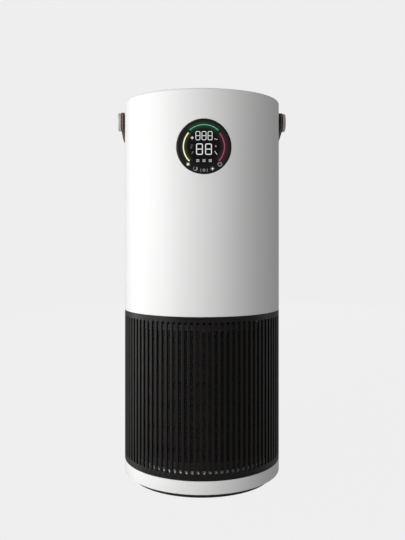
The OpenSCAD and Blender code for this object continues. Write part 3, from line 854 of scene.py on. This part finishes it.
colour_arcs()
digits()
touch_marks()
small_marks()

# ---- Leather strap ----

STRAP_IN = washer_high.x + 0.15 * MM
STRAP_T = 3.5 * MM
STRAP_W = 26.7 * MM
STRAP_STRAIGHT = 25 * MM
STRAP_REACH = 115 * MM
STRAP_REST = math.radians(17)


def strap_line():
    """The loop from one pivot to the other: (distance, inner point, outer point) in its own plane."""
    half = [(STRAP_IN, y, STRAP_IN + STRAP_T, y) for y in (STRAP_STRAIGHT * i / 8 for i in range(8))]
    far = STRAP_REACH - STRAP_STRAIGHT
    half += [(STRAP_IN * math.cos(a), STRAP_STRAIGHT + far * math.sin(a),
              (STRAP_IN + STRAP_T) * math.cos(a), STRAP_STRAIGHT + (far + STRAP_T) * math.sin(a))
             for a in (math.pi / 2 * i / 48 for i in range(49))]
    line = half + [(-xi, yi, -xo, yo) for xi, yi, xo, yo in reversed(half[:-1])]
    stations, run = [], 0
    for i, (xi, yi, xo, yo) in enumerate(line):
        here = Vector(((xi + xo) / 2, (yi + yo) / 2))
        run += (here - last).length if i else 0
        last = here
        stations.append((run, Vector((xi, yi)), Vector((xo, yo))))
    return stations


STRAP_LINE = strap_line()
STRAP_LENGTH = STRAP_LINE[-1][0]


def on_strap(p, w, t):
    """A point at distance p along the strap, w across it and t of the way through, 0 to 1, as it rests."""
    if p <= 0 or p >= STRAP_LENGTH:
        run, inner, outer = STRAP_LINE[0 if p <= 0 else -1]
        beyond = Vector((0, -abs(p - run)))
        inner, outer = inner + beyond, outer + beyond
    else:
        k = next(i for i, station in enumerate(STRAP_LINE) if station[0] >= p)
        (p0, in0, out0), (p1, in1, out1) = STRAP_LINE[k - 1], STRAP_LINE[k]
        f = (p - p0) / (p1 - p0)
        inner, outer = in0.lerp(in1, f), out0.lerp(out1, f)
    flat = inner.lerp(outer, t)
    back, up = math.cos(STRAP_REST), math.sin(STRAP_REST)
    return (flat.x, flat.y * back + w * up, PIVOT_Z - flat.y * up + w * back)


def strap_columns(inset):
    """Half widths along the strap with its round ends, inset from the edge: (distance, half width)."""
    radius = STRAP_W / 2 - inset
    ends = [(radius * math.cos(a), radius * math.sin(a)) for a in (math.pi / 2 * i / 14 for i in range(15))]
    runs = [(p, radius) for p in (STRAP_LENGTH * i / 120 for i in range(1, 120))]
    return [(-x, h) for x, h in ends] + runs + [(STRAP_LENGTH + x, h) for x, h in reversed(ends)]


def strap_layer(name, low, high, inset, bevel):
    """One layer of the strap, with bevelled edges."""
    soft = bevel / STRAP_T
    rings = [(inset + bevel, low), (inset + bevel * 0.3, low + soft * 0.3), (inset, low + soft),
             (inset, high - soft), (inset + bevel * 0.3, high - soft * 0.3), (inset + bevel, high)]
    verts, faces = [], []
    for side in (-1, 1):
        add_grid(verts, faces, [[on_strap(p, side * h, t) for p, h in strap_columns(r)] for r, t in rings])
    for r, t in (rings[0], rings[-1]):
        add_grid(verts, faces, [[on_strap(p, h * k / 3, t) for p, h in strap_columns(r)]
                                for k in range(-3, 4)])
    return new_object(name, verts, faces, 50)


def stitches():
    """Thread stitches along both edges, on the outside and the inside."""
    verts, faces = [], []
    sides, pitch, half = 6, 4.2 * MM, 1.3 * MM
    shape = [(-1, 0.05), (-0.7, 0.26), (0, 0.32), (0.7, 0.26), (1, 0.05)]
    count = int((STRAP_LENGTH - 30 * MM) / pitch)
    for face in (0, 1):
        for w in (-STRAP_W / 2 + 2.6 * MM, STRAP_W / 2 - 2.6 * MM):
            for i in range(count):
                middle = 15 * MM + (i + 0.5) * (STRAP_LENGTH - 30 * MM) / count
                first = len(verts)
                for along, radius in shape:
                    for k in range(sides):
                        a = TURN * k / sides
                        verts.append(on_strap(middle + along * half, w + radius * MM * math.cos(a),
                                              face + radius * MM * math.sin(a) / STRAP_T * 0.8))
                for j in range(len(shape) - 1):
                    for k in range(sides):
                        n = (k + 1) % sides
                        faces.append((first + j * sides + k, first + j * sides + n,
                                      first + (j + 1) * sides + n, first + (j + 1) * sides + k))
                faces.append(tuple(first + k for k in range(sides)))
                faces.append(tuple(first + (len(shape) - 1) * sides + k for k in reversed(range(sides))))
    return new_object("strap_stitches", verts, faces, 60)


def strap_holes():
    hole = 5.2 * MM
    return [cylinder("cut_eyelet", hole, (side * (STRAP_IN - 1 * MM), 0, PIVOT_Z),
                     (side * (STRAP_IN + STRAP_T + 1 * MM), 0, PIVOT_Z), 48) for side in (-1, 1)]


LEATHER = leather()
for number, (low, high) in enumerate(((0, 0.28), (0.72, 1))):
    skin = strap_layer("strap_skin_%d" % (number + 1), low, high, 0, 0.22 * MM)
    cut(skin, *strap_holes())
    dress(skin, LEATHER, "handle", *(["handle_strap"] if number else []), slot="strap_leather")
# The core layer carries the paler edge colour, which is partly a painted highlight.
core = strap_layer("strap_core", 0.26, 0.74, 0.18 * MM, 0.1 * MM)
cut(core, *strap_holes())
dress(core, paler_edge_and_painted_highlight(), "handle", slot="strap_leather")
dress(stitches(), thread(), "handle", slot="strap_leather")

# ---- Pivot screws ----


def pivot_screw(side):
    """A screw with a wide, slightly domed head, its stud and its shank."""
    head, thick = CAP_R, screw_high.x - STRAP_IN - STRAP_T - 0.15 * MM
    back = -(STRAP_T + 0.45 * MM)
    outline = fillet([
        (0, -20.5 * MM, 0), (2.5 * MM, -20.5 * MM, 0.4 * MM), (2.5 * MM, back, 0), (4 * MM, back, 0.2 * MM),
        (4 * MM, 0, 0), (head, 0, 0.4 * MM), (head, thick - 0.9 * MM, 0.6 * MM),
        (head - 1.1 * MM, thick - 0.15 * MM, 0.8 * MM), (0, thick, 0)], 5)
    screw = lathe("pivot_screw", outline, 96)
    screw.data.transform(Matrix.Translation((side * (STRAP_IN + STRAP_T + 0.15 * MM), 0, PIVOT_Z))
                         @ Matrix.Rotation(side * math.pi / 2, 4, "Y"))
    return screw


screws = join("pivot_screw_heads", [pivot_screw(-1), pivot_screw(1)])
BRONZE = metal("bronze_metal", (0.70, 0.64, 0.61), rough=(0.36, 0.46), stretch=(1, 1, 1), depth=0.002,
               metallic=0.5)
dress(screws, BRONZE, "housing", "pivot_screws", slot="bronze_metal")

# ---- Air outlet ----


def louvre(turn, low):
    """One swirl louvre with a rounded top edge: an arc from the hub out to the ring."""
    arc_r, centre_x = 62 * MM, 80 * MM
    reach = [math.acos((r * r - arc_r ** 2 - centre_x ** 2) / (2 * arc_r * centre_x))
             for r in (23.2 * MM, 93 * MM)]
    section = [(-0.8, 0), (-0.8, 7.3), (-0.6, 7.75), (-0.25, 7.97),
               (0.25, 7.97), (0.6, 7.75), (0.8, 7.3), (0.8, 0)]
    steps = 18
    verts = []
    for i in range(steps + 1):
        a = reach[0] + (reach[1] - reach[0]) * i / steps
        for across, up in section:
            r = arc_r + across * MM
            x, y = centre_x + r * math.cos(a), r * math.sin(a)
            verts.append((x * math.cos(turn) - y * math.sin(turn), x * math.sin(turn) + y * math.cos(turn),
                          low + up * MM))
    n = len(section)
    faces = [(i * n + k, i * n + (k + 1) % n, (i + 1) * n + (k + 1) % n, (i + 1) * n + k)
             for i in range(steps) for k in range(n)]
    faces += [tuple(range(n)), tuple(steps * n + k for k in reversed(range(n)))]
    return new_object("louvre", verts, faces, 50)


def outlet_grille():
    low = outlet_low.z
    outer = outlet_high.x
    parts = [louvre(TURN * i / 40, low) for i in range(40)]
    parts.append(lathe("outlet_ring", fillet([
        (outer - 2.4 * MM, low, 0.2 * MM), (outer, low, 0.2 * MM), (outer, low + 8 * MM, 0.5 * MM),
        (outer - 2.4 * MM, low + 8 * MM, 0.7 * MM)])))
    parts.append(lathe("outlet_stay", fillet([
        (57 * MM, low, 0.2 * MM), (58.8 * MM, low, 0.2 * MM), (58.8 * MM, low + 6 * MM, 0.4 * MM),
        (57 * MM, low + 6 * MM, 0.4 * MM)]), 128))
    parts.append(lathe("outlet_hub", fillet([
        (0, low, 0), (24 * MM, low, 0.3 * MM), (24 * MM, low + 8 * MM, 0.5 * MM),
        (21 * MM, low + 8 * MM, 0.3 * MM), (21 * MM, low + 2 * MM, 0.3 * MM), (0, low + 2 * MM, 0)]), 96))
    return join("outlet_grille_skin", parts)


def outlet_cap():
    low = outlet_low.z + 8.1 * MM
    return lathe("outlet_cap_skin", fillet([
        (0, low, 0), (24 * MM, low, 0.2 * MM), (24 * MM, low + 0.8 * MM, 0.3 * MM),
        (22.3 * MM, low + 1.5 * MM, 0.8 * MM), (14 * MM, low + 1.3 * MM, 2 * MM),
        (0, low + 0.9 * MM, 0)]), 128)


dress(outlet_grille(), BLACK, "housing", "outlet_grille", slot="black_plastic")
dress(outlet_cap(), BLACK, "housing", "outlet_cap", slot="black_plastic")

# ---- CAD nodes that stay ----

PLAIN = {
    "dark_plastic": moulded("dark_plastic", (0.035, 0.035, 0.038), grain=0.02),
    "light_box": moulded("light_box_white", (0.75, 0.75, 0.75), grain=0.01),
    "circuit_board": moulded("circuit_board", (0.012, 0.10, 0.035), rough=(0.25, 0.4), spread=0.2),
    "brass": metal("brass", (0.62, 0.44, 0.18)),
    "screw_steel": metal("screw_steel", (0.58, 0.58, 0.60)),
    "ribbon_cable": moulded("ribbon_cable", (0.5, 0.5, 0.5)),
    "duct_plastic": moulded("duct_plastic", (0.12, 0.12, 0.125)),
    "deck_plastic": moulded("deck_plastic", (0.10, 0.10, 0.105)),
    "impeller_plastic": moulded("impeller_plastic", (0.70, 0.70, 0.70)),
    "motor_aluminium": metal("motor_aluminium", (0.66, 0.67, 0.68), rough=(0.4, 0.55)),
    "bearing_steel": metal("bearing_steel", (0.62, 0.63, 0.65), rough=(0.15, 0.25)),
    "mount_rubber": soft_rubber("mount_rubber", (0.02, 0.02, 0.02)),
    "washer_rubber": soft_rubber("washer_rubber", (0.03, 0.024, 0.022)),
    "laminated_iron": metal("laminated_iron", (0.2, 0.21, 0.22), rough=(0.4, 0.6)),
    "copper_wire": metal("copper_wire", (0.6, 0.25, 0.12), stretch=(1, 1, 60)),
    "chip_plastic": moulded("chip_plastic", (0.02, 0.02, 0.022)),
    "bracket_plastic": moulded("bracket_plastic", (0.15, 0.15, 0.16)),
    "mesh_fabric": netting(),
    "filter_paper": soft_rubber("filter_paper", (0.75, 0.74, 0.69)),
    "carbon_felt": soft_rubber("carbon_felt", (0.02, 0.02, 0.02)),
    "pull_ribbon": soft_rubber("pull_ribbon", (0.30, 0.04, 0.035)),
    "bronze_metal": BRONZE,
    "strap_leather": LEATHER,
    "black_plastic": BLACK,
    "white_shell": WHITE,
    "foot_rubber": bpy.data.materials["foot_rubber"],
    "display_window": bpy.data.materials["display_window"],
}
slot_of = {s["node"]: s["material_slot"] for s in frame["record"]["subparts"]}
for name, node in frame["nodes"].items():
    node.data.materials.clear()
    node.data.materials.append(PLAIN[slot_of[name]])

# Bevel widths in mm
SOFT_EDGES = {"sensor_cover": 0.3, "power_inlet": 0.35, "inlet_pins": 0.25, "base_plate": 0.4,
              "pivot_washers": 0.3, "strap_eyelets": 0.2, "base_screws": 0.15, "fan_guard": 0.3,
              "pivot_nuts": 0.3}
for name, width in SOFT_EDGES.items():
    bevel = frame["nodes"][name].modifiers.new("soft_edge", "BEVEL")
    bevel.width = width * MM
    bevel.segments = 3
    bevel.limit_method = "ANGLE"
    bevel.angle_limit = math.radians(40)
    bevel.harden_normals = True
